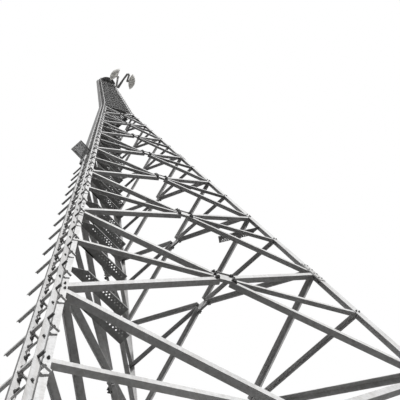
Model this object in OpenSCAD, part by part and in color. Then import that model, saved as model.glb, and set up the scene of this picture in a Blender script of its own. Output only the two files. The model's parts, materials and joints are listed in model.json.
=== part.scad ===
// Three-legged self-supporting radio tower at a scale of 1:2, in millimetres.
// The tapered body has X-braced faces with a level bar through each crossing,
// and a slim mast stands on it. Legs A, B and C stand on the corners of an
// equilateral triangle. The origin is the middle of the underside of leg A's
// base plate, +Z is up, and +X runs from leg A to leg B.

/* [Body] */
// Leg spacing, heel to heel, at the underside of the base plates
base_w = 3340; // [2800:10:3900]
// Leg spacing where the mast starts
bend_w = 875; // [740:5:1050]
// Height of one braced panel
panel_h = 2000; // [1700:10:2400]
// Braced panels in each of the three tiers
tier_panels = 3; // [2:1:4]
// Height from the underside of the base plates to the lowest node
foot_h = 450; // [350:10:700]

/* [Mast] */
// Height of the mast
mast_h = 8360; // [7000:20:10000]
// Leg spacing at the top of the mast
top_w = 635; // [540:5:760]
// Braced panels in the mast
mast_panels = 16; // [12:1:18]

/* [Legs] */
// Flange width of the body legs
leg_b = 72; // [60:1:87]
// Flange thickness of the body legs
leg_t = 7; // [5:0.5:9]
// Flange width of the mast legs
mast_leg_b = 50; // [40:1:60]
// Flange thickness of the mast legs
mast_leg_t = 5; // [4:0.5:7]
// Length of a splice plate
splice_l = 460; // [300:10:600]
// Thickness of a splice plate
splice_t = 6; // [4:1:8]
// Gap between a splice plate and the edges of its flange
splice_edge = 5; // [3:1:8]

/* [Base plates] */
// Side of a base plate
base_plate = 260; // [220:5:320]
// Thickness of a base plate
base_plate_t = 20; // [14:1:30]
// Circle through the anchor holes
anchor_pcd = 260; // [240:5:280]
// Radius of an anchor hole
anchor_r = 10; // [7:0.5:12]
// Distance from the leg's heel to the middle of its base plate
heel_in = 30; // [20:1:40]

/* [Bracing] */
// Flange width of the diagonals in the lowest tier
diag_b_1 = 50; // [42:1:60]
// Flange width of the diagonals in the middle tier
diag_b_2 = 48; // [40:1:58]
// Flange width of the diagonals in the top tier
diag_b_3 = 42; // [35:1:51]
// Flange width of the level bars
level_b = 40; // [33:1:48]
// Flange thickness of all bracing bars
bar_t = 4.5; // [3:0.5:6]
// Distance from a crossing to the ends of its bars
cross_gap = 70; // [60:1:90]
// Length of a crossing plate
cross_plate_l = 200; // [180:2:260]
// Height of a crossing plate
cross_plate_h = 140; // [120:2:180]
// Thickness of a crossing plate
cross_plate_t = 5; // [4:0.5:8]
// Width of the flat bars that brace the mast
mast_bar_b = 24; // [19:1:29]
// Thickness of the flat bars that brace the mast
mast_bar_t = 4; // [3:0.5:5]

/* [Ladder] */
// Distance from leg A's heel out to the ladder rails
ladder_out = 10; // [8:1:20]
// Width of the ladder over its rails
ladder_w = 120; // [110:1:140]
// Depth of a ladder rail
rail_d = 40; // [30:1:50]
// Thickness of a ladder rail
rail_t = 5; // [4:0.5:8]
// Height of the foot of the ladder
ladder_z = 520; // [480:10:700]
// Height of the lowest ladder bracket
bracket_z = 828; // [800:1:900]
// Spacing of the ladder brackets, with a rung halfway between them
bracket_gap = 423; // [400:1:450]
// Radius of a rung
rung_r = 6; // [5:0.5:8]
// Flange width of a bracket bar
bracket_b = 22; // [18:1:26]
// Thickness of a bracket bar
bracket_t = 3; // [2:0.5:4]
// How far the bracket bars below the rest platform reach past leg A's heel
bracket_reach = 238; // [200:1:260]
// Width of the struts that tie the brackets to the leg
strut_w = 12; // [9:1:16]
// Distance inside leg A's heel at which the ties across the leg lie
tie_in = 20; // [16:1:24]

/* [Rest platform] */
// Bracket at whose height the rest platform stands, counted from the lowest
rest_bracket = 20; // [18:1:22]
// Distance from leg A's heel out to the platform
rest_out = 75; // [70:1:90]
// Size of the platform outwards
rest_l = 190; // [170:2:220]
// Size of the platform sideways
rest_w = 180; // [160:2:200]
// Thickness of the platform
rest_t = 12; // [8:1:16]

/* [Cable duct] */
// Width of the duct that carries the cables
duct_w = 80; // [60:1:100]
// Depth of the cable duct
duct_d = 40; // [30:1:50]
// Gap between the ladder and the cable duct
duct_gap = 12; // [8:1:20]

/* [Cable arms] */
// Distance from leg A's heel to the far end of a cable arm
arm_l = 570; // [500:5:600]
// Width of a cable arm
arm_w = 84; // [70:1:100]
// Height of the lips of a cable arm
arm_lip = 20; // [15:1:30]
// Thickness of a cable arm
arm_t = 4; // [3:0.5:6]
// Gap between a cable arm and what it starts behind
arm_gap = 2; // [1:0.5:5]
// Width of the tongue that carries an arm behind the bars
tongue_w = 12; // [8:1:14]
// Height of an arm's underside below a node of the legs
arm_node_down = 30; // [27:1:31]
// Height of the arms between nodes and level bars from the nearest node
arm_between = 400; // [370:10:450]

/* [Top deck] */
// Radius of the round top deck
deck_r = 372; // [368:2:420]
// Thickness of the top deck
deck_t = 14; // [8:1:20]

/* [Antennas] */
// Diameter of both antennas
dish_d = 600; // [540:5:640]
// Rise of an antenna's radome
dish_front = 145; // [110:5:160]
// Depth of an antenna's back
dish_back = 100; // [80:5:130]
// Wall of an antenna
dish_t = 5; // [4:0.5:8]
// Radius of an antenna's mounting collar
hub_r = 48; // [35:1:60]
// Diameter of the booms
boom_d = 76; // [64:1:84]
// Height of the plate that holds a boom
boom_plate_h = 180; // [120:10:240]
// Thickness of the plates that hold the booms
boom_plate_t = 10; // [8:1:14]
// Height of the upper antenna's middle
upper_z = 26000; // [25800:10:26200]
// Upper antenna's middle along X from leg B's heel
upper_x = -198; // [-240:1:-190]
// Upper antenna's middle along Y from leg B's heel
upper_y = -422; // [-500:1:-400]
// Direction that the upper antenna faces, from +X towards +Y
upper_turn = 203; // [195:1:215]
// Height of the side antenna's middle
side_z = 25500; // [25300:10:25600]
// Side antenna's middle along X from leg B's heel
side_x = 425; // [400:1:480]
// Side antenna's middle along Y from leg B's heel
side_y = -386; // [-420:1:-350]
// Direction that the side antenna faces, from +X towards +Y
side_turn = -6; // [-15:1:5]
// Length of the side antenna's boom
boom_l = 655; // [600:5:700]
// Direction of the side antenna's boom, from +X towards +Y
boom_turn = -72; // [-80:1:-68]

/* [Hidden] */
LEGS = ["a", "b", "c"];
FACES = ["ab", "bc", "ca"];

tier_h = tier_panels * panel_h;
bend_z = foot_h + 3 * tier_h;
top_z = bend_z + mast_h;
circ = 1 / sqrt(3);        // corner distance from the axis, per leg spacing
inr = circ / 2;            // face distance from the axis, per leg spacing
axis_x = (base_w * circ - heel_in) * cos(30);
axis_y = (base_w * circ - heel_in) * sin(30);
far = 3 * base_w;
mast_step = mast_h / mast_panels;
mast_start = (2 * (mast_leg_t + 2 * mast_bar_t) * cos(60) + mast_leg_t + 2 * mast_bar_t) / sin(60);
mitre_gap = 1;             // from a bar's end to the mitre between two faces

// Leg spacing at a height
function width_at(z) = z < bend_z
    ? base_w + (bend_w - base_w) * z / bend_z
    : bend_w + (top_w - bend_w) * (z - bend_z) / mast_h;

// A stage is [foot height, foot spacing, face tilt, leg skew in the face, fold]
function tilt_of(w0, w1, h) = atan((w0 - w1) * inr / h);
function stage_of(z, w0, w1, h) =
    let (tilt = tilt_of(w0, w1, h))
    [z, w0, tilt, atan((w0 - w1) / 2 * cos(tilt) / h),
     180 - acos(pow(sin(tilt), 2) - pow(cos(tilt), 2) / 2)];
BODY = stage_of(0, base_w, bend_w, bend_z);
MAST = stage_of(bend_z, bend_w, top_w, mast_h);

// Lean of a leg's heel line towards the axis, and how far along it a level is
function lean_of(stage) = stage == BODY ? atan((base_w - bend_w) * circ / bend_z)
                                        : atan((bend_w - top_w) * circ / mast_h);
function along(stage, z) = (z - stage[0]) / cos(lean_of(stage));
function bracket_at(j) = bracket_z + j * bracket_gap * cos(lean_of(BODY));
rest_z = bracket_at(rest_bracket) - bracket_b;
tray_t = 3;                // sheet of the cable duct

// Height up the tilted face of a level
function up(stage, z) = (z - stage[0]) / cos(stage[2]);

// Face frame: X along the face, Y up it, Z out of it, middle of its foot at 0
module on_face(stage, k)
    translate([axis_x, axis_y, stage[0]])
        rotate([0, 0, 120 * k])
            translate([0, -stage[1] * inr, 0])
                rotate([90 - stage[2], 0, 0])
                    children();

// Everything between two levels
module between(z0, z1)
    intersection() {
        children();
        translate([axis_x - far, axis_y - far, z0])
            cube([2 * far, 2 * far, z1 - z0]);
    }

// Section of a leg: a folded angle whose flanges lie in two faces
function fold_section(b, t, fold) = [
    [0, 0], [b, 0], [b, t], [t / tan(fold / 2), t],
    [b * cos(fold) + t * sin(fold), b * sin(fold) - t * cos(fold)],
    [b * cos(fold), b * sin(fold)]
];

module leg_part(stage, k, b, t, z0, z1)
    between(z0, z1)
        on_face(stage, k)
            translate([-stage[1] / 2, 0, 0])
                rotate([0, 0, -stage[3]])
                    rotate([-90, 0, 0])
                        translate([0, 0, z0 - stage[0] - leg_b])
                            linear_extrude(height = z1 - z0 + 3 * leg_b)
                                polygon(fold_section(b, t, stage[4]));

// Equal angle bar in a face, its inward flange along the lower (-1) or the upper (1) edge
module angle_bar(p, q, depth, b, t, edge)
    translate([p[0], p[1], -depth])
        rotate([0, 0, atan2(q[1] - p[1], q[0] - p[0])])
            rotate([90, 0, 90])
                linear_extrude(height = norm(q - p))
                    polygon([[edge * b / 2, 0], [-edge * b / 2, 0], [-edge * b / 2, -t],
                             [edge * (b / 2 - t), -t], [edge * (b / 2 - t), -b], [edge * b / 2, -b]]);

// The third of the tower behind a face between two levels, up to the mitre with the next face
module third(k, z0, z1)
    intersection() {
        children();
        translate([axis_x, axis_y, z0])
            rotate([0, 0, 120 * k])
                linear_extrude(height = z1 - z0)
                    polygon([[0, -mitre_gap / sin(60)],
                             [-far, -mitre_gap / sin(60) - far * tan(30)],
                             [far, -mitre_gap / sin(60) - far * tan(30)]]);
    }

// Flat plate in a face, with its outer side at a depth
module face_plate(x0, x1, y0, y1, depth, t)
    translate([x0, y0, -depth - t])
        cube([x1 - x0, y1 - y0, t]);

// Point a distance from p towards q
function toward(p, q, d) = p + (q - p) / norm(q - p) * d;
function panel_z(i) = foot_h + i * panel_h;
function cross_z(i) =
    panel_z(i) + panel_h * width_at(panel_z(i)) / (width_at(panel_z(i)) + width_at(panel_z(i + 1)));

// One panel's diagonals, level bars and the plate that joins them
module brace_panel(i, b, edge) {
    z = [panel_z(i), cross_z(i), panel_z(i + 1)];
    half = [for (level = z) width_at(level) / 2];
    v = [for (level = z) up(BODY, level)];
    mid = [0, v[1]];
    for (side = [-1, 1]) {
        for (end = [0, 2]) {
            foot = [side * half[end], v[end]];
            to_mid = toward(mid, foot, cross_gap);
            angle_bar(side < 0 ? foot : to_mid, side < 0 ? to_mid : foot, leg_t, b, bar_t, edge);
        }
        x = side * half[1];
        angle_bar([min(x, side * cross_gap), v[1]], [max(x, side * cross_gap), v[1]],
                  leg_t, level_b, bar_t, edge);
    }
    face_plate(-cross_plate_l / 2, cross_plate_l / 2,
               v[1] - cross_plate_h / 2, v[1] + cross_plate_h / 2, leg_t - cross_plate_t, cross_plate_t);
}

diag_b = [diag_b_1, diag_b_2, diag_b_3];
function edge_of(k) = k == 0 ? -1 : 1;

// The bars lie on the inside of the leg flanges and run up to the corners
module bracing(k, tier)
    color("silver")
        for (i = [tier * tier_panels : (tier + 1) * tier_panels - 1])
            third(k, panel_z(i) + 1, panel_z(i + 1) - 1)
                on_face(BODY, k)
                    brace_panel(i, diag_b[tier], edge_of(k));

// The two diagonals of a panel cross in two layers, and the level bars share the outer one
module mast_bracing(k)
    color("silver")
        on_face(MAST, k)
            for (i = [0 : mast_panels - 1]) {
                z = [for (j = [i, i + 1]) bend_z + j * mast_step];
                half = [for (level = z) width_at(level) / 2 - mast_start];
                v = [for (level = z) up(MAST, level)];
                lift = mast_bar_b;
                flat_bar([-half[0], v[0] + lift], [half[1], v[1] - lift], mast_leg_t);
                flat_bar([half[0], v[0] + lift], [-half[1], v[1] - lift], mast_leg_t + mast_bar_t);
                if (i > 0) flat_bar([-half[0], v[0]], [half[0], v[0]], mast_leg_t);
            }

module flat_bar(p, q, depth)
    translate([p[0], p[1], -depth - mast_bar_t])
        rotate([0, 0, atan2(q[1] - p[1], q[0] - p[0])])
            translate([0, -mast_bar_b / 2, 0])
                cube([norm(q - p), mast_bar_b, mast_bar_t]);

module base_plate_part(k)
    color("silver")
        translate([axis_x, axis_y, 0])
            rotate([0, 0, 120 * k])
                rotate([0, 0, 210])
                    translate([base_w * circ - heel_in, 0, 0])
                        difference() {
                            translate([-base_plate / 2, -base_plate / 2, 0])
                                cube([base_plate, base_plate, base_plate_t]);
                            for (a = [45 : 90 : 315])
                                rotate([0, 0, a])
                                    translate([anchor_pcd / 2, 0, -1])
                                        cylinder(r = anchor_r, h = base_plate_t + 2, $fn = 32);
                        }

module leg_tier(k, tier)
    color("gainsboro")
        leg_part(BODY, k, leg_b, leg_t,
                 tier == 0 ? base_plate_t : foot_h + tier * tier_h, foot_h + (tier + 1) * tier_h);

module mast_leg(k)
    color("gainsboro")
        leg_part(MAST, k, mast_leg_b, mast_leg_t, bend_z, top_z);

// Cover plates on the outside of both flanges of a leg at a joint
module splice_pair(k, z)
    for (face = [0, 1])
        on_face(BODY, k + 2 * face)
            mirror([face, 0, 0])
                translate([-base_w / 2, 0, 0])
                    rotate([0, 0, -BODY[3]])
                        translate([splice_edge, z / cos(BODY[2]) / cos(BODY[3]) - splice_l / 2, 0])
                            cube([leg_b - 2 * splice_edge, splice_l, splice_t]);

module splices(k)
    color("silver")
        for (tier = [1, 2])
            splice_pair(k, foot_h + tier * tier_h);

// Leg A's frame: X out from its heel, Y to the side away from leg C, Z up the leg
module on_leg(stage)
    translate([axis_x, axis_y, stage[0]])
        rotate([0, 0, 210])
            translate([stage[1] * circ, 0, 0])
                rotate([0, -lean_of(stage), 0])
                    children();

// The same at the heel of leg A or B, but level
module at_heel(z, turn = 210)
    translate([axis_x, axis_y, z])
        rotate([0, 0, turn])
            translate([width_at(z) * circ, 0, 0])
                children();

module block(x0, x1, y0, y1, z0, z1)
    translate([x0, y0, z0])
        cube([x1 - x0, y1 - y0, z1 - z0]);

rail_mid = ladder_out + rail_d / 2;
stay_y = ladder_w / 2 - rail_t + 1;     // outer side of the stays, lapped on the rails
stay_t = strut_w;

// Outer side of a leg's flange, at a distance inside its heel
function flange_y(stage, x) = -x * tan(stage[4] / 2);
function near_splice(z) =
    min([for (tier = [1, 2]) abs(z - foot_h - tier * tier_h)]) < splice_l / 2 + 2 * strut_w;

// Bars that carry the ladder: an angle across its rails, stays beside them and ties to the leg
module bracket(stage, z, reach) {
    s = along(stage, z);
    gap = (near_splice(z) ? splice_t : 0) / cos(stage[4] / 2);
    translate([rail_mid, -reach, s])
        rotate([0, 90, 90])
            linear_extrude(height = reach + ladder_w / 2)
                polygon([[-bracket_b / 2, -bracket_b / 2], [bracket_b / 2, -bracket_b / 2],
                         [bracket_b / 2, -bracket_b / 2 + bracket_t],
                         [-bracket_b / 2 + bracket_t, -bracket_b / 2 + bracket_t],
                         [-bracket_b / 2 + bracket_t, bracket_b / 2], [-bracket_b / 2, bracket_b / 2]]);
    for (side = [0, 1])
        mirror([0, side, 0]) {
            block(-3 * tie_in, ladder_out + rail_d - 5, stay_y - stay_t, stay_y,
                  s - strut_w / 2, s + strut_w / 2);
            translate([0, 0, s - strut_w / 3])
                linear_extrude(height = 2 * strut_w / 3)
                    polygon([
                        [-tie_in - strut_w / 2, flange_y(stage, -tie_in - strut_w / 2) + gap],
                        [-tie_in + strut_w / 2, flange_y(stage, -tie_in + strut_w / 2) + gap],
                        [-tie_in + strut_w / 2, stay_y + 4], [-tie_in - strut_w / 2, stay_y + 4]]);
        }
}

// Rails, rungs and brackets between two levels
module ladder_run(stage, z0, z1)
    color("lightgrey")
        between(z0, z1)
            on_leg(stage) {
                for (side = [0, 1])
                    mirror([0, side, 0])
                        block(ladder_out, ladder_out + rail_d, ladder_w / 2 - rail_t, ladder_w / 2,
                              along(stage, z0) - leg_b, along(stage, z1) + leg_b);
                for (j = [0 : 2 * floor((top_z - bracket_z) / bracket_gap)]) {
                    z = bracket_at(j / 2);
                    if (z > z0 + 2 * bracket_b && z < z1 - 2 * bracket_b) {
                        if (j % 2 == 0)
                            bracket(stage, z, j / 2 < rest_bracket ? bracket_reach : ladder_w / 2);
                        else
                            translate([rail_mid, -ladder_w / 2 + 1, along(stage, z)])
                                rotate([-90, 0, 0])
                                    cylinder(r = rung_r, h = ladder_w - 2, $fn = 10);
                        if (j % 2 == 0 && j / 2 > rest_bracket)
                            block(ladder_out - bracket_b - 1, ladder_out - 1, -duct_y - duct_w,
                                  1 - stay_y, along(stage, z) - bracket_t, along(stage, z) + bracket_t);
                    }
                }
            }

module ladder_tier(tier)
    ladder_run(BODY, tier == 0 ? ladder_z : foot_h + tier * tier_h, foot_h + (tier + 1) * tier_h);

module rest_platform()
    color("darkgrey")
        at_heel(rest_z) {
            block(rest_out, rest_out + rest_l, -rest_w / 2, rest_w / 2, -rest_t, 0);
            for (side = [0, 1])
                mirror([0, side, 0])
                    block(ladder_out + 5, rest_out + rest_l - 5, ladder_w / 2, ladder_w / 2 + rail_t,
                          -rest_t - 2 * bracket_b, 1 - rest_t);
        }

duct_y = ladder_w / 2 + duct_gap;

// Channel with its back outwards, held on the brackets by its lips
module cable_duct(stage, z0, z1)
    color("grey")
        between(z0, z1)
            on_leg(stage)
                mirror([0, 1, 0])
                    difference() {
                        block(ladder_out - 1, ladder_out - 1 + duct_d, duct_y, duct_y + duct_w,
                              along(stage, z0) - leg_b, along(stage, z1) + leg_b);
                        block(ladder_out - 2, ladder_out - 1 + duct_d - tray_t, duct_y + tray_t,
                              duct_y + duct_w - tray_t,
                              along(stage, z0) - 2 * leg_b, along(stage, z1) + 2 * leg_b);
                    }

// Channel that reaches inwards from a leg and starts along the face beside it. Where bars
// meet the leg it starts behind them, and a tongue ties it to them.
module cable_arm(z, turn, behind_bars) {
    near = behind_bars ? leg_t + diag_b_1 + arm_gap : leg_t + arm_gap;
    start = 2 * near + arm_w / tan(30);
    at_heel(z, turn)
        mirror([1, 0, 0]) {
            linear_extrude(height = arm_t)
                polygon([[2 * near, 0], [start, arm_w], [arm_l, arm_w], [arm_l, 0]]);
            for (y = [0, arm_w - arm_t])
                block(start, arm_l, y, y + arm_t, arm_t - 1, arm_lip);
            if (behind_bars)
                block(2 * (leg_t + bar_t + 1) + tongue_w / tan(30), start, 0, tongue_w, 0, arm_t);
        }
}

// Whether an arm a step above (end 0) or below (end 1) a panel's node starts behind a diagonal
function near_diagonal(i, end) =
    let (half = width_at(panel_z(i + end)) / 2,
         slope = atan(abs(cross_z(i) - panel_z(i + end)) / half),
         from_heel = arm_between / tan(slope) - diag_b_1 / 2 / sin(slope),
         clear_of_bars = (2 * (leg_t + diag_b_1) + arm_w / tan(30)) * cos(30) + arm_w * sin(30))
    from_heel < clear_of_bars;

// Four arms to a panel: below its node, a step up, on its level bar and a step down
module cable_arms(first, last)
    color("grey")
        for (i = [first : last]) {
            cable_arm(panel_z(i) - arm_node_down, 210, true);
            cable_arm(panel_z(i) + arm_between, 210, near_diagonal(i, 0));
            cable_arm(cross_z(i) + level_b / 2 + arm_t, 210, true);
            cable_arm(panel_z(i + 1) - arm_between, 210, near_diagonal(i, 1));
        }

// Leg B's single arm stands on the third panel
module cable_arm_b()
    color("grey")
        cable_arm(panel_z(4) - arm_between, 330, near_diagonal(3, 1));

// Deck on the ends of the mast legs
module top_deck()
    color("dimgrey")
        translate([axis_x, axis_y, top_z])
            cylinder(r = deck_r, h = deck_t, $fn = 48);

// A place beside leg B of the mast, with X along the model's X
module beside_b(z)
    at_heel(z, 330)
        rotate([0, 0, -330])
            children();

// Height at a radius of a ball's cap that rises over the antenna's circle
function cap(rise, r) =
    let (ball = (pow(dish_d / 2, 2) + pow(rise, 2)) / (2 * rise))
    rise - ball + sqrt(pow(ball, 2) - pow(r, 2));
rim = dish_d / 2;
inner_rim = rim - 4 * dish_t;
hub_x = -dish_back - 2 * dish_t;

// Hollow antenna that faces +X, with a collar round the opening in its back
module antenna()
    rotate([0, 90, 0])
        rotate_extrude($fn = 64)
            polygon([
                for (i = [0 : 12]) [rim * i / 12, cap(dish_front, rim * i / 12)],
                for (i = [11 : -1 : 0]) let (r = hub_r + (rim - hub_r) * i / 12) [r, -cap(dish_back, r)],
                [hub_r, hub_x], [hub_r - dish_t, hub_x],
                for (i = [0 : 12]) let (r = hub_r - dish_t + (inner_rim - hub_r + dish_t) * i / 12)
                    [r, dish_t - cap(dish_back, r)],
                for (i = [12 : -1 : 0]) let (r = inner_rim * i / 12) [r, cap(dish_front, r) - dish_t]
            ]);

module upper_antenna()
    color("whitesmoke")
        beside_b(upper_z)
            translate([upper_x, upper_y, 0])
                rotate([0, 0, upper_turn])
                    antenna();

module side_antenna()
    color("whitesmoke")
        beside_b(side_z)
            translate([side_x, side_y, 0])
                rotate([0, 0, side_turn])
                    antenna();

// Round bar from p to q in a level plane
module rod(p, q)
    translate([p[0], p[1], 0])
        rotate([0, 0, atan2(q[1] - p[1], q[0] - p[0])])
            rotate([0, 90, 0])
                cylinder(d = boom_d, h = norm(q - p), $fn = 12);

// Plate beside the flange of leg B that carries a boom
module boom_plate()
    block(-mast_leg_b, boom_d / 2, -2 - boom_plate_t, -2, -boom_plate_h / 2, boom_plate_h / 2);

function turned(a) = [cos(a), sin(a)];
boom_root = [-boom_plate_t, -2 - boom_plate_t / 2];
boom_clear = 6;            // from the side antenna's boom back to its collar
fin_h = 70;                // height of the fin that stiffens the side antenna's boom
fin_in = 12;               // from the boom's root to the fin's upper corner

// Boom to the collar of the upper antenna
module upper_antenna_boom()
    color("silver")
        beside_b(upper_z) {
            boom_plate();
            rod(boom_root, [upper_x, upper_y] - turned(upper_turn) * (boom_d / 2 - hub_x));
            translate([upper_x, upper_y, 0])
                rotate([0, 0, upper_turn])
                    translate([hub_x - boom_d, 0, 0])
                        rotate([0, 90, 0])
                            cylinder(r = hub_r, h = boom_d - 0.5, $fn = 32);
        }

// Boom with a crosspiece that holds the side antenna near its rim
module side_antenna_boom()
    color("silver")
        beside_b(side_z) {
            tip = turned(boom_turn) * boom_l;
            hub = [side_x, side_y] - turned(side_turn) * (boom_d / 2 + boom_clear - hub_x);
            boom_plate();
            rod(boom_root, tip);
            rod(tip, [hub[0], tip[1]]);
            rod([hub[0], tip[1]], hub);
            translate([side_x, side_y, 0])
                rotate([0, 0, side_turn])
                    translate([hub_x - boom_d, 0, 0])
                        rotate([0, 90, 0])
                            cylinder(r = hub_r, h = boom_d - 0.5, $fn = 32);
            linear_extrude(height = boom_plate_t)
                polygon([boom_root,
                         boom_root + turned(boom_turn + 90) * fin_h + turned(boom_turn) * fin_in,
                         turned(boom_turn) * boom_l / 2 + turned(boom_turn + 90) * boom_d / 2,
                         turned(boom_turn) * boom_l / 2]);
        }

for (k = [0:2]) {
    base_plate_part(k);
    for (tier = [0:2]) {
        leg_tier(k, tier);
        bracing(k, tier);
    }
    mast_leg(k);
    splices(k);
    mast_bracing(k);
}
for (tier = [0:2])
    ladder_tier(tier);
ladder_run(MAST, bend_z, top_z);  // mast_ladder
rest_platform();
cable_duct(BODY, rest_z, bend_z);  // cable_duct_lower
cable_duct(MAST, bend_z, top_z);  // cable_duct_upper
cable_arms(2, 3);  // cable_arms_lower
cable_arms(4, 6);  // cable_arms_upper
cable_arm_b();
top_deck();
upper_antenna();
upper_antenna_boom();
side_antenna();
side_antenna_boom();
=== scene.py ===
"""Looks of the three-legged radio tower, a scale model at 1:2, in metres, in the CAD frame."""
import json
import math

import bmesh
import bpy
from mathutils import Matrix, Vector

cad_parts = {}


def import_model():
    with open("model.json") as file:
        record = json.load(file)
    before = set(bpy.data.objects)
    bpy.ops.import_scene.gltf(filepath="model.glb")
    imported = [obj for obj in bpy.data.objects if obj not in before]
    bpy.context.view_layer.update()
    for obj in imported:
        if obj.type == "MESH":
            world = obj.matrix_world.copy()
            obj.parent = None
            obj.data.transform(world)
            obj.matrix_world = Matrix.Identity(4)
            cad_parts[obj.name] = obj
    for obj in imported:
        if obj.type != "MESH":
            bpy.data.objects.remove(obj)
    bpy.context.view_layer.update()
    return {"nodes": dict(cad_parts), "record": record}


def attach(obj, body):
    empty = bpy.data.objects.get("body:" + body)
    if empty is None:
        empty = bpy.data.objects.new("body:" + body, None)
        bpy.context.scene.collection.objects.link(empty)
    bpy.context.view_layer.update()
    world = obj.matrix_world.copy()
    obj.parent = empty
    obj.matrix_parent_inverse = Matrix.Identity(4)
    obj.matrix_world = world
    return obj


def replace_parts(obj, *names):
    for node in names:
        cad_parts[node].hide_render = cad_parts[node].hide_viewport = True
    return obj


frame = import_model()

# ---------------------------------------------------------------- sizes, as in the CAD source
BASE_W, BEND_W, TOP_W = 3.340, 0.875, 0.635     # leg spacing at the foot, the bend and the top
PANEL_H, PANELS, FOOT_H = 2.000, 9, 0.450
TIER_PANELS = 3                                 # panels between two joints of a leg
MAST_H, MAST_PANELS = 8.360, 16
LEG_T, MAST_LEG_T = 0.007, 0.005
CROSS_T, CROSS_GAP = 0.005, 0.070               # crossing plates, and the bars' distance in them
CROSS_L, CROSS_H = 0.200, 0.140
DIAG_B, LEVEL_B, BAR_T = 0.050, 0.040, 0.0045   # the lowest tier's diagonals, and the level bars
MAST_BAR_T = 0.004
SPLICE_L, SPLICE_T = 0.460, 0.006
HEEL_IN, ANCHOR_PCD, PLATE_T = 0.030, 0.260, 0.020
LADDER_OUT, LADDER_W, RAIL_D, RAIL_T = 0.010, 0.120, 0.040, 0.005
BRACKET_Z, BRACKET_GAP, BRACKET_B = 0.828, 0.423, 0.022
REST_BRACKET = 20                               # the ladder bracket that the platform stands on
REST_OUT, REST_L, REST_W, REST_T = 0.075, 0.190, 0.180, 0.012
ARM_L, ARM_W, ARM_LIP, ARM_T, ARM_GAP = 0.570, 0.084, 0.020, 0.004, 0.002
ARM_NODE_DOWN, ARM_BETWEEN, TONGUE_W = 0.030, 0.400, 0.012

# ---------------------------------------------------------------- sizes of what is added here
# Crossing bolts are drawn wider so that their dark zinc also paints the shade around them.
CROSS_BOLT, LEG_BOLT, SPLICE_BOLT = 0.014, 0.009, 0.009
LEG_BOLTS_AT = (0.026, 0.054)                   # in from the heel line
CROSS_BOLTS_AT, LEVEL_BOLT_AT = (0.011, 0.034), 0.014       # past CROSS_GAP
SPLICE_ROWS, SPLICE_BOLTS = (0.020, 0.052), 4   # rows in from the heel line, bolts in each
ANCHOR_NUT, ANCHOR_ROD = 0.017, 0.009           # radii
LIP_T, LIP_IN, LIP_OUT = 0.004, 0.022, 0.012
CLAMP_NUT, RAIL_BOLT, RAIL_BOLT_STEP = 0.0075, 0.011, 0.050
BRACKET_END = 0.040                             # past the right rail
SHADED_EDGE_R, SHADED_EDGE_L = 0.004, 0.0035                  # radii of the dark lines along the two rails, painted shade on the rails' edges
PLAN_GAP, PLAN_B, PLAN_FOOT_B, PLAN_INNER_B = 0.002, 0.030, 0.120, 0.024
SLATS, SLAT_SHARE, SLAT_T, REST_FRAME = 30, 0.82, 0.0015, 0.008
HOLE_PITCH, HOLE_R, HOLE_ROWS = 0.028, 0.0062, (0.050, 0.068)

BEND_Z = FOOT_H + PANELS * PANEL_H
TOP_Z = BEND_Z + MAST_H
CIRC, INR = 1 / math.sqrt(3), 0.5 / math.sqrt(3)
UP = Vector((0, 0, 1))
HEEL_R = BASE_W * CIRC - HEEL_IN
AXIS = Vector((HEEL_R * math.cos(math.radians(30)), HEEL_R * math.sin(math.radians(30)), 0))
TAN_30 = math.tan(math.radians(30))
SIDES, LEGS = ("ab", "bc", "ca"), "abc"


def width_at(z):
    if z < BEND_Z:
        return BASE_W + (BEND_W - BASE_W) * z / BEND_Z
    return BEND_W + (TOP_W - BEND_W) * (z - BEND_Z) / MAST_H


def panel_z(i):
    return FOOT_H + i * PANEL_H


def cross_z(i):
    lower, upper = width_at(panel_z(i)), width_at(panel_z(i + 1))
    return panel_z(i) + PANEL_H * lower / (lower + upper)


# ---------------------------------------------------------------- placing things
def turned(degrees):
    a = math.radians(degrees)
    return Vector((math.cos(a), math.sin(a), 0))


class Face:
    """A braced face: x along it from its middle, y up it, depth inwards from its outer plane."""

    def __init__(self, k, foot_z, foot_w, head_w, height):
        self.tilt = math.atan((foot_w - head_w) * INR / height)
        self.foot_z = foot_z
        self.x = turned(120 * k)
        outward = turned(120 * k - 90)
        self.y = UP * math.cos(self.tilt) - outward * math.sin(self.tilt)
        self.normal = outward * math.cos(self.tilt) + UP * math.sin(self.tilt)
        self.foot = AXIS + outward * foot_w * INR + UP * foot_z

    def up(self, z):
        return (z - self.foot_z) / math.cos(self.tilt)

    def at(self, x, y, depth=0.0):
        return self.foot + self.x * x + self.y * y - self.normal * depth


def body_face(k):
    return Face(k, 0, BASE_W, BEND_W, BEND_Z)


def mast_face(k):
    return Face(k, BEND_Z, BEND_W, TOP_W, MAST_H)


class LegFrame:
    """Leg A: out from its heel, side away from leg C, along the heel line."""

    def __init__(self, foot_z, foot_w, head_w, height):
        self.lean = math.atan((foot_w - head_w) * CIRC / height)
        radial = turned(210)
        self.foot_z = foot_z
        self.out = radial * math.cos(self.lean) + UP * math.sin(self.lean)
        self.side = turned(300)
        self.along_axis = UP * math.cos(self.lean) - radial * math.sin(self.lean)
        self.foot = AXIS + radial * foot_w * CIRC + UP * foot_z

    def along(self, z):
        return (z - self.foot_z) / math.cos(self.lean)

    def at(self, out, side, z):
        return self.foot + self.out * out + self.side * side + self.along_axis * self.along(z)


BODY_LEG = LegFrame(0, BASE_W, BEND_W, BEND_Z)
MAST_LEG = LegFrame(BEND_Z, BEND_W, TOP_W, MAST_H)


# ---------------------------------------------------------------- materials
# Scales of the zinc's and the paint's textures, in features to a metre.
ZINC = {"spangle": 55, "clouds": 2.6, "runs": (38, 38, 1.6), "dull": 14, "grain": 180}
PAINT = {"clouds": 3.4, "runs": (22, 22, 1.2), "dull": 9, "grain": 240}


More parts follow.
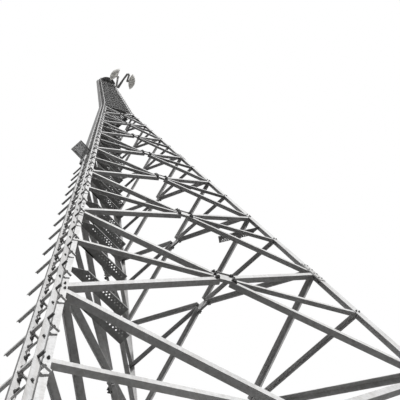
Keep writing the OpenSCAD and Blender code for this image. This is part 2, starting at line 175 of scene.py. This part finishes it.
def principled(name):
    mat = bpy.data.materials.new(name)
    mat.use_nodes = True
    nodes, links = mat.node_tree.nodes, mat.node_tree.links
    return mat, nodes, links, nodes["Principled BSDF"]


def noise(nodes, links, coords, scale, detail=4.0, rough=0.55):
    node = nodes.new("ShaderNodeTexNoise")
    node.inputs["Scale"].default_value = scale
    node.inputs["Detail"].default_value = detail
    node.inputs["Roughness"].default_value = rough
    links.new(coords, node.inputs["Vector"])
    return node.outputs["Fac"]


def ramp(nodes, links, value, stops):
    node = nodes.new("ShaderNodeValToRGB")
    while len(node.color_ramp.elements) < len(stops):
        node.color_ramp.elements.new(0.5)
    for element, (place, colour) in zip(node.color_ramp.elements, stops):
        element.position = place
        element.color = (*colour, 1)
    links.new(value, node.inputs["Fac"])
    return node.outputs["Color"]


def grey(value, warm=0.0):
    return value * (1 + warm), value, value * (1 - warm)


def blend(nodes, links, kind, fac, a, b):
    node = nodes.new("ShaderNodeMix")
    node.data_type = "RGBA"
    node.blend_type = kind
    node.inputs["Factor"].default_value = fac
    links.new(a, node.inputs["A"])
    links.new(b, node.inputs["B"])
    return node.outputs["Result"]


def galvanised(name, tone, spread=0.05, roughness=(0.48, 0.66), streak=0.14, specular=0.12):
    """Weathered hot-dip zinc: crystals, cloudy patina, water streaks down the members."""
    mat, nodes, links, shader = principled(name)
    coords = nodes.new("ShaderNodeTexCoord").outputs["Object"]

    crystals = nodes.new("ShaderNodeTexVoronoi")
    crystals.inputs["Scale"].default_value = ZINC["spangle"]
    links.new(coords, crystals.inputs["Vector"])
    spangle = ramp(nodes, links, crystals.outputs["Color"],
                   ((0.25, grey(tone - spread)), (0.75, grey(tone + spread * 0.6))))

    patina = ramp(nodes, links, noise(nodes, links, coords, ZINC["clouds"], 6),
                  ((0.30, grey(1 - 1.4 * streak)), (0.62, grey(1.0))))
    colour = blend(nodes, links, "MULTIPLY", 1.0, spangle, patina)

    stretch = nodes.new("ShaderNodeMapping")
    stretch.inputs["Scale"].default_value = ZINC["runs"]
    links.new(coords, stretch.inputs["Vector"])
    runs = ramp(nodes, links, noise(nodes, links, stretch.outputs["Vector"], 1.0, 3),
                ((0.36, grey(1 - streak, 0.02)), (0.60, grey(1.0))))
    colour = blend(nodes, links, "MULTIPLY", 0.8, colour, runs)
    links.new(colour, shader.inputs["Base Color"])

    dull = nodes.new("ShaderNodeMapRange")
    dull.inputs["To Min"].default_value, dull.inputs["To Max"].default_value = roughness
    links.new(noise(nodes, links, coords, ZINC["dull"], 4), dull.inputs["Value"])
    links.new(dull.outputs["Result"], shader.inputs["Roughness"])

    bump = nodes.new("ShaderNodeBump")
    bump.inputs["Strength"].default_value = 0.12
    bump.inputs["Distance"].default_value = 0.0006
    links.new(noise(nodes, links, coords, ZINC["grain"], 3), bump.inputs["Height"])
    links.new(bump.outputs["Normal"], shader.inputs["Normal"])
    shader.inputs["Metallic"].default_value = 0.0
    shader.inputs["Specular IOR Level"].default_value = specular
    return mat


def painted(name, tone, warm=0.01, roughness=(0.38, 0.55), dirt=0.16, glow=0.4):
    """Painted fibreglass: faint orange peel, rain-washed dirt, some light through the shell."""
    mat, nodes, links, shader = principled(name)
    coords = nodes.new("ShaderNodeTexCoord").outputs["Object"]
    base = ramp(nodes, links, noise(nodes, links, coords, PAINT["clouds"], 5),
                ((0.32, grey(tone * (1 - dirt), warm)), (0.64, grey(tone, warm))))
    stretch = nodes.new("ShaderNodeMapping")
    stretch.inputs["Scale"].default_value = PAINT["runs"]
    links.new(coords, stretch.inputs["Vector"])
    runs = ramp(nodes, links, noise(nodes, links, stretch.outputs["Vector"], 1.0, 4),
                ((0.34, grey(1 - dirt, 0.02)), (0.58, grey(1.0))))
    links.new(blend(nodes, links, "MULTIPLY", 0.9, base, runs), shader.inputs["Base Color"])
    gloss = nodes.new("ShaderNodeMapRange")
    gloss.inputs["To Min"].default_value, gloss.inputs["To Max"].default_value = roughness
    links.new(noise(nodes, links, coords, PAINT["dull"], 4), gloss.inputs["Value"])
    links.new(gloss.outputs["Result"], shader.inputs["Roughness"])
    bump = nodes.new("ShaderNodeBump")
    bump.inputs["Strength"].default_value = 0.02
    bump.inputs["Distance"].default_value = 0.0004
    links.new(noise(nodes, links, coords, PAINT["grain"], 2), bump.inputs["Height"])
    links.new(bump.outputs["Normal"], shader.inputs["Normal"])
    shader.inputs["Specular IOR Level"].default_value = 0.35
    through = nodes.new("ShaderNodeBsdfTranslucent")
    through.inputs["Color"].default_value = (0.92, 0.92, 0.90, 1)
    both = nodes.new("ShaderNodeMixShader")
    both.inputs["Fac"].default_value = glow
    links.new(shader.outputs["BSDF"], both.inputs[1])
    links.new(through.outputs["BSDF"], both.inputs[2])
    links.new(both.outputs["Shader"], nodes["Material Output"].inputs["Surface"])
    return mat


MATERIALS = {
    "leg_steel": galvanised("galvanised_legs", 0.62),
    "brace_steel": galvanised("galvanised_bracing", 0.60),
    "plate_steel": galvanised("galvanised_plates", 0.56),
    "ladder_steel": galvanised("galvanised_ladder", 0.66),
    "deck_steel": galvanised("galvanised_decks", 0.36, roughness=(0.55, 0.75)),
    "cable_cover": galvanised("coated_cable_sheet", 0.20, spread=0.03, roughness=(0.45, 0.6)),
    "dish_white": painted("antenna_paint", 0.88, dirt=0.07),
    # Booms take a much lighter zinc: painted light on booms that stand in shade.
    "boom_steel": galvanised("galvanised_booms_painted_light", 0.88),
    "arm_steel": galvanised("galvanised_arms", 0.34),
    # The mast's zinc is made darker: painted shade for the mast's shaded bracing.
    "mast_steel": galvanised("galvanised_mast_painted_shade", 0.30),
    # Dark zinc for bolts, nuts and rods: painted shade on their undersides and around them.
    "bolt_steel": galvanised("bolt_zinc_painted_shade", 0.15, spread=0.03, roughness=(0.45, 0.6), streak=0.2),
}


def dress(obj, slot):
    obj.data.materials.clear()
    obj.data.materials.append(MATERIALS[slot])


for subpart in frame["record"]["subparts"]:
    name = subpart["node"]
    slot = subpart["material_slot"]
    # The mast's bracing takes the darker zinc, painted shade.
    if name.startswith("mast_bracing"):
        slot = "mast_steel"
    # Booms get the lighter zinc, painted light.
    elif name.endswith("_boom"):
        slot = "boom_steel"
    dress(frame["nodes"][name], slot)


# ---------------------------------------------------------------- fasteners
class Fasteners:
    """Collects bolts, nuts, washers, rods and flats into one mesh."""

    def __init__(self):
        self.mesh = bmesh.new()

    def prism(self, at, axis, radius, start, end, sides=6, turn=0.0):
        axis = axis.normalized()
        u = axis.orthogonal().normalized()
        v = axis.cross(u)
        rings = []
        for height in (start, end):
            ring = []
            for i in range(sides):
                a = turn + 2 * math.pi * i / sides
                ring.append(self.mesh.verts.new(
                    at + axis * height + (u * math.cos(a) + v * math.sin(a)) * radius))
            rings.append(ring)
        lower, upper = rings
        self.mesh.faces.new(lower[::-1])
        self.mesh.faces.new(upper)
        for i in range(sides):
            j = (i + 1) % sides
            self.mesh.faces.new((lower[i], lower[j], upper[j], upper[i]))

    def bolt(self, at, axis, size, grip, turn=0.0):
        """Washer, nut and end outside, head inside; at lies on the outer face of the plates."""
        corner = size * 0.95
        washer, nut, end, head = size * 0.16, size * 0.96, size * 1.6, size * 0.65
        self.prism(at, axis, corner * 1.15, 0.0, washer, sides=10)
        self.prism(at, axis, corner, washer, nut, turn=turn)
        self.prism(at, axis, size * 0.5, nut, end, sides=8)
        self.prism(at, -axis, corner, grip, grip + head, turn=turn + 0.4)

    # Fastener meshes default to the dark bolt zinc, which paints shade.
    def finish(self, name, slot="bolt_steel"):
        data = bpy.data.meshes.new(name)
        bmesh.ops.recalc_face_normals(self.mesh, faces=self.mesh.faces[:])
        self.mesh.to_mesh(data)
        self.mesh.free()
        obj = bpy.data.objects.new(name, data)
        bpy.context.scene.collection.objects.link(obj)
        dress(obj, slot)
        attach(obj, "root")
        return obj


def bolts_on_body_face(k):
    """Bolts at the ends of the bars, through the leg flanges and the crossing plates."""
    face = body_face(k)
    bolts = Fasteners()

    def on_leg(x, y, slope=0.0):
        bolts.bolt(face.at(x, y), face.normal, LEG_BOLT, LEG_T + BAR_T, turn=slope)

    def on_crossing(x, y, slope=0.0):
        bolts.bolt(face.at(x, y, LEG_T - CROSS_T), face.normal, CROSS_BOLT, CROSS_T + BAR_T,
                   turn=slope)

    for i in range(PANELS):
        z = (panel_z(i), cross_z(i), panel_z(i + 1))
        y = [face.up(level) for level in z]
        half = [width_at(level) / 2 for level in z]
        for side in (-1, 1):
            for end in (0, 2):
                node = i + end // 2
                slope = math.atan2(y[1] - y[end], half[end])
                if node % TIER_PANELS or node in (0, PANELS):       # no splice there
                    for x in LEG_BOLTS_AT:
                        on_leg(side * (half[end] - x), y[end] + x * math.tan(slope), slope)
                for past in CROSS_BOLTS_AT:
                    run = CROSS_GAP + past
                    on_crossing(side * run * math.cos(slope), y[1] - run * math.sin(slope), slope)
            for x in LEG_BOLTS_AT:
                on_leg(side * (half[1] - x), y[1])
            on_crossing(side * (CROSS_GAP + LEVEL_BOLT_AT), y[1])
    bolts.finish(f"bracing_bolts_{SIDES[k]}")


def bolts_on_splices(k):
    """Two rows of bolts through each splice plate of a leg, with the nuts inside."""
    bolts = Fasteners()
    for tier in (1, 2):
        z = FOOT_H + tier * TIER_PANELS * PANEL_H
        for turn in (0, 2):
            face = body_face((k + turn) % 3)
            side = -1 if turn == 0 else 1
            half = width_at(z) / 2
            skew = math.atan((BASE_W - BEND_W) / 2 * math.cos(face.tilt) / BEND_Z)
            for row in SPLICE_ROWS:
                for n in range(SPLICE_BOLTS):
                    v = (n - (SPLICE_BOLTS - 1) / 2) * SPLICE_L / SPLICE_BOLTS
                    x = side * (half - row - v * math.tan(skew))
                    bolts.bolt(face.at(x, face.up(z) + v, LEG_T), -face.normal, SPLICE_BOLT,
                               SPLICE_T + LEG_T)
    bolts.finish(f"splice_bolts_{LEGS[k]}")


def crossing_lips(k):
    """The crossing plates' folded edges: the lower one inwards, the upper one outwards."""
    face = body_face(k)
    lips = Fasteners()
    for i in range(PANELS):
        y = face.up(cross_z(i))
        for edge, depth, width in ((-CROSS_H / 2 + LIP_T, LEG_T + LIP_IN / 2, LIP_IN),
                                   (CROSS_H / 2, LEG_T - CROSS_T - LIP_OUT / 2, LIP_OUT)):
            start, end = (face.at(x, y + edge, depth) for x in (-CROSS_L / 2, CROSS_L / 2))
            flat(lips, start, end, width, LIP_T)
    lips.finish(f"crossing_lips_{SIDES[k]}", "brace_steel")


def anchor_bolts(k):
    """Washers, nuts and lock nuts on the four anchor bolts of a base plate."""
    bolts = Fasteners()
    middle = AXIS + turned(210 + 120 * k) * HEEL_R
    washer, nut, lock_nut, end = (PLATE_T + height for height in (0.004, 0.020, 0.034, 0.056))
    for n in range(4):
        at = middle + turned(210 + 120 * k + 45 + 90 * n) * ANCHOR_PCD / 2
        bolts.prism(at, UP, 0.020, PLATE_T, washer, sides=20)
        bolts.prism(at, UP, ANCHOR_NUT, washer, nut)
        bolts.prism(at, UP, ANCHOR_NUT, nut, lock_nut, turn=0.5)
        bolts.prism(at, UP, ANCHOR_ROD, PLATE_T - 0.018, end, sides=16)
    bolts.finish(f"anchor_nuts_{LEGS[k]}")


def ladder_clamps():
    """A washer and a nut on each rail of the ladder, at every half bracket gap."""
    clamps = Fasteners()
    washer, nut, clear_of_top = 0.003, 0.009, 0.05
    for j in range(int((TOP_Z - BRACKET_Z) / BRACKET_GAP * 2)):
        z = BRACKET_Z + j / 2 * BRACKET_GAP * math.cos(BODY_LEG.lean)
        leg = BODY_LEG if z < BEND_Z else MAST_LEG
        if z > TOP_Z - clear_of_top:
            break
        for side in (-1, 1):
            at = leg.at(LADDER_OUT + RAIL_D / 2, side * LADDER_W / 2, z)
            clamps.prism(at, leg.side * side, 0.009, 0.0, washer, sides=10)
            clamps.prism(at, leg.side * side, CLAMP_NUT, washer, nut)
    clamps.finish("ladder_rung_nuts")


def flat(mesh, start, end, width, thickness):
    """A level flat bar between two points."""
    along = (end - start).normalized()
    across = along.cross(UP) * width / 2
    corners = []
    for at in (start, end):
        for drop in (0, -thickness):
            corners.append([mesh.mesh.verts.new(at + across * side + UP * drop)
                            for side in (-1, 1)])
    (a, b), (c, d), (e, f), (g, h) = corners
    for face in ((a, b, f, e), (c, g, h, d), (a, e, g, c),
                 (b, d, h, f), (a, c, d, b), (e, f, h, g)):
        mesh.mesh.faces.new(face)


def rod(mesh, start, end, radius, sides=6):
    """A thin bar between two points."""
    mesh.prism(start, end - start, radius, 0.0, (end - start).length, sides=sides)


def ladder_lattice():
    """Bolts on the left rail, the brackets' ends past the right one, and a dark line along each
    that paints the shade on the rail's edge.
    """
    parts = Fasteners()
    pitch = BRACKET_GAP * math.cos(BODY_LEG.lean) / 2
    mid = LADDER_OUT + RAIL_D / 2
    nut, end = 0.010, 0.030
    for j in range(int((TOP_Z - BRACKET_Z) / pitch)):
        z = BRACKET_Z + (j + 0.5) * pitch
        leg = BODY_LEG if z < BEND_Z - pitch else MAST_LEG
        if BEND_Z - pitch < z < BEND_Z + pitch:
            continue
        for step in (-RAIL_BOLT_STEP, RAIL_BOLT_STEP):
            at = leg.at(mid - 0.006, RAIL_T - LADDER_W / 2, z + step)
            parts.prism(at, leg.side, RAIL_BOLT, 0.0, nut)
            parts.prism(at, leg.side, 0.006, nut, end)
        if j % 2:
            at = leg.at(mid, LADDER_W / 2, z + pitch / 2)
            rod(parts, at, at + leg.side * BRACKET_END, BRACKET_B * 0.45, sides=4)
    # Dark rods along both rails, painted shade on the rails' edges.
    for leg, low, high in ((BODY_LEG, BRACKET_Z, BEND_Z), (MAST_LEG, BEND_Z, TOP_Z - 0.02)):
        for out, side, radius in ((LADDER_OUT - 0.004, LADDER_W / 2, SHADED_EDGE_R),
                                  (LADDER_OUT + RAIL_D + 0.002, -LADDER_W / 2, SHADED_EDGE_L)):
            rod(parts, leg.at(out, side, low), leg.at(out, side, high), radius)
    parts.finish("ladder_lattice")


def mast_plan_bracing():
    """Level flats inside the mast's faces and, at every other level, between their middles."""
    parts = Fasteners()
    behind = MAST_LEG_T + 2 * MAST_BAR_T + PLAN_GAP
    for i in range(2 * MAST_PANELS):
        z = BEND_Z + (i + 0.5) * MAST_H / MAST_PANELS / 2
        width = width_at(z)
        b = PLAN_FOOT_B if i == 0 else PLAN_B
        reach = width / 2 - (behind + b) / TAN_30
        middles = []
        for k in range(3):
            outward, along = turned(120 * k - 90), turned(120 * k)
            middle = AXIS + outward * (width * INR - behind - b / 2) + UP * z
            flat(parts, middle - along * reach, middle + along * reach, b, MAST_BAR_T)
            middles.append(middle - outward * b / 2)
        if i % 2:
            for a, c in ((0, 1), (1, 2), (2, 0)):
                flat(parts, middles[a], middles[c], PLAN_INNER_B, MAST_BAR_T)
    # In the darker mast zinc, painted shade.
    parts.finish("mast_plan_bracing", "mast_steel")


def rest_grating():
    """The rest platform as an open grating in a frame, on two plates beside the ladder."""
    parts = Fasteners()
    z = BRACKET_Z + REST_BRACKET * BRACKET_GAP * math.cos(BODY_LEG.lean) - BRACKET_B
    out, side = turned(210), turned(300)
    heel = AXIS + out * width_at(z) * CIRC + UP * z
    corner = heel + out * REST_OUT
    half = REST_W / 2 - REST_FRAME / 2
    for y in (-1, 1):
        edge = side * (y * half)
        flat(parts, corner + edge, corner + out * REST_L + edge, REST_FRAME, REST_T)
    for n in range(SLATS):
        at = corner + out * (REST_L * (n + 0.5) / SLATS)
        flat(parts, at - side * half, at + side * half, REST_L / SLATS * SLAT_SHARE, SLAT_T)
    clear, sunk = 0.005, UP * (REST_T - 0.001)
    for y in (-1, 1):
        edge = side * (y * (LADDER_W / 2 + RAIL_T / 2))
        flat(parts, heel + out * (LADDER_OUT + clear) + edge - sunk,
             corner + out * (REST_L - clear) + edge - sunk, RAIL_T, 2 * BRACKET_B)
    grating = parts.finish("rest_grating", "deck_steel")
    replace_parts(grating, "rest_platform")


def arm_levels(first, last):
    """Each arm's height, and whether it starts behind bars."""
    for i in range(first, last + 1):
        yield panel_z(i) - ARM_NODE_DOWN, True
        yield panel_z(i) + ARM_BETWEEN, False
        yield cross_z(i) + LEVEL_B / 2 + ARM_T, True
        yield panel_z(i + 1) - ARM_BETWEEN, False


def spline(curve, points):
    line = curve.splines.new("POLY")
    line.points.add(len(points) - 1)
    for point, (x, y) in zip(line.points, points):
        point.co = (x, y, 0, 1)
    line.use_cyclic_u = True


def cable_arm(z, turn, behind_bars, mesh):
    """A channel with two rows of cable holes, in the place of its CAD solid."""
    near = LEG_T + ARM_GAP + (DIAG_B if behind_bars else 0)
    start = 2 * near + ARM_W / TAN_30
    curve = bpy.data.curves.new("arm", "CURVE")
    curve.dimensions = "2D"
    curve.fill_mode = "BOTH"
    curve.extrude = ARM_T / 2
    spline(curve, ((2 * near, 0), (ARM_L, 0), (ARM_L, ARM_W), (start, ARM_W)))
    after_start, before_end = 0.02, 0.03
    for row, y in enumerate(HOLE_ROWS):
        x = start + after_start + row * HOLE_PITCH / 2
        while x < ARM_L - before_end:
            spline(curve, [(x + HOLE_R * math.cos(math.radians(45 * n)),
                            y + HOLE_R * math.sin(math.radians(45 * n))) for n in range(8)])
            x += HOLE_PITCH
    holder = bpy.data.objects.new("arm", curve)
    sheet = bpy.data.meshes.new_from_object(holder)
    inward, side = -turned(turn), turned(turn + 90)
    heel = AXIS + turned(turn) * width_at(z) * CIRC + UP * z
    place = Matrix((inward, side, UP)).transposed().to_4x4()
    place.translation = heel + UP * ARM_T / 2
    sheet.transform(place)
    mesh.mesh.from_mesh(sheet)
    bpy.data.objects.remove(holder)
    bpy.data.curves.remove(curve)
    bpy.data.meshes.remove(sheet)
    for y in (ARM_T / 2, ARM_W - ARM_T / 2):
        flat(mesh, heel + inward * start + side * y + UP * ARM_LIP,
             heel + inward * ARM_L + side * y + UP * ARM_LIP, ARM_T, ARM_LIP - ARM_T)
    if behind_bars:
        clear = 0.001
        tip = 2 * (LEG_T + BAR_T + clear) + TONGUE_W / TAN_30
        flat(mesh, heel + inward * tip + side * (TONGUE_W / 2) + UP * ARM_T,
             heel + inward * start + side * (TONGUE_W / 2) + UP * ARM_T, TONGUE_W, ARM_T)


def cable_arms():
    for node, first, last in (("cable_arms_lower", 2, 3), ("cable_arms_upper", 4, 6)):
        parts = Fasteners()
        for z, behind_bars in arm_levels(first, last):
            cable_arm(z, 210, behind_bars, parts)
        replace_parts(parts.finish(node + "_holed", "arm_steel"), node)
    parts = Fasteners()
    cable_arm(panel_z(4) - ARM_BETWEEN, 330, False, parts)
    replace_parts(parts.finish("cable_arm_b_holed", "arm_steel"), "cable_arm_b")


for k in range(3):
    bolts_on_body_face(k)
    bolts_on_splices(k)
    crossing_lips(k)
    anchor_bolts(k)
ladder_clamps()
ladder_lattice()
mast_plan_bracing()
rest_grating()
cable_arms()


# ---------------------------------------------------------------- floor, light, camera
FLOOR_R, FLOOR_Z = 2.8, -0.002
SKY_LOW, SKY_HIGH = -0.05, 0.35                 # the sky brightens between these heights
SKY_DIM, SKY_BRIGHT = 0.02, 0.60
LENS = 57.3
CAMERA_AT = Vector((-0.0261, -1.4174, 0.7603))
CAMERA_AIM = (39.89, 70.94, -32.25)             # azimuth, elevation and roll in degrees


def stage():
    """A pale round floor under the tower."""
    data = bpy.data.meshes.new("floor")
    mesh = bmesh.new()
    bmesh.ops.create_circle(mesh, cap_ends=True, radius=FLOOR_R, segments=96)
    bmesh.ops.translate(mesh, vec=(AXIS.x, AXIS.y, FLOOR_Z), verts=mesh.verts[:])
    mesh.to_mesh(data)
    mesh.free()
    floor = bpy.data.objects.new("floor", data)
    bpy.context.scene.collection.objects.link(floor)
    mat, nodes, links, shader = principled("pale_floor")
    shader.inputs["Base Color"].default_value = (0.40, 0.40, 0.395, 1)
    shader.inputs["Roughness"].default_value = 0.9
    shader.inputs["Specular IOR Level"].default_value = 0.1
    data.materials.append(mat)


def sun(name, azimuth, elevation, strength, angle):
    data = bpy.data.lights.new(name, "SUN")
    data.energy = strength
    data.angle = math.radians(angle)
    lamp = bpy.data.objects.new(name, data)
    bpy.context.scene.collection.objects.link(lamp)
    a, e = math.radians(azimuth), math.radians(elevation)
    towards = Vector((math.cos(a) * math.cos(e), math.sin(a) * math.cos(e), math.sin(e)))
    lamp.rotation_euler = towards.to_track_quat("Z", "Y").to_euler()


def world():
    """White behind the tower; soft light from the upper half, little from below."""
    env = bpy.data.worlds.new("studio")
    bpy.context.scene.world = env
    env.use_nodes = True
    nodes, links = env.node_tree.nodes, env.node_tree.links
    shader = nodes["Background"]
    rays = nodes.new("ShaderNodeLightPath")
    coords = nodes.new("ShaderNodeTexCoord")
    split = nodes.new("ShaderNodeSeparateXYZ")
    links.new(coords.outputs["Generated"], split.inputs["Vector"])
    dome = nodes.new("ShaderNodeMapRange")
    dome.inputs["From Min"].default_value = SKY_LOW
    dome.inputs["From Max"].default_value = SKY_HIGH
    dome.inputs["To Min"].default_value = SKY_DIM
    dome.inputs["To Max"].default_value = SKY_BRIGHT
    links.new(split.outputs["Z"], dome.inputs["Value"])
    seen = nodes.new("ShaderNodeMath")
    seen.operation = "MAXIMUM"
    links.new(rays.outputs["Is Camera Ray"], seen.inputs[0])
    links.new(rays.outputs["Is Glossy Ray"], seen.inputs[1])
    through = nodes.new("ShaderNodeMath")
    through.operation = "MAXIMUM"
    links.new(seen.outputs[0], through.inputs[0])
    links.new(rays.outputs["Is Transmission Ray"], through.inputs[1])
    mix = nodes.new("ShaderNodeMix")
    mix.data_type = "FLOAT"
    mix.inputs["B"].default_value = 1.0
    links.new(through.outputs[0], mix.inputs["Factor"])
    links.new(dome.outputs["Result"], mix.inputs["A"])
    links.new(mix.outputs["Result"], shader.inputs["Strength"])
    shader.inputs["Color"].default_value = (1, 1, 1, 1)


def camera():
    """Stands beside leg A at eye height and looks steeply up the tower."""
    data = bpy.data.cameras.new("camera")
    data.sensor_width = 36
    data.lens = LENS
    data.clip_end = 100
    cam = bpy.data.objects.new("camera", data)
    bpy.context.scene.collection.objects.link(cam)
    azimuth, elevation, roll = (math.radians(angle) for angle in CAMERA_AIM)
    ahead = Vector((math.cos(azimuth) * math.cos(elevation),
                    math.sin(azimuth) * math.cos(elevation), math.sin(elevation)))
    level = ahead.cross(UP).normalized()
    upright = level.cross(ahead)
    right = level * math.cos(roll) + upright * math.sin(roll)
    above = right.cross(ahead)
    cam.matrix_world = Matrix((right, above, -ahead)).transposed().to_4x4()
    cam.location = CAMERA_AT
    bpy.context.scene.camera = cam


stage()
sun("key", azimuth=272, elevation=45, strength=4.5, angle=2)
world()
camera()

bpy.context.scene.view_settings.view_transform = "Standard"
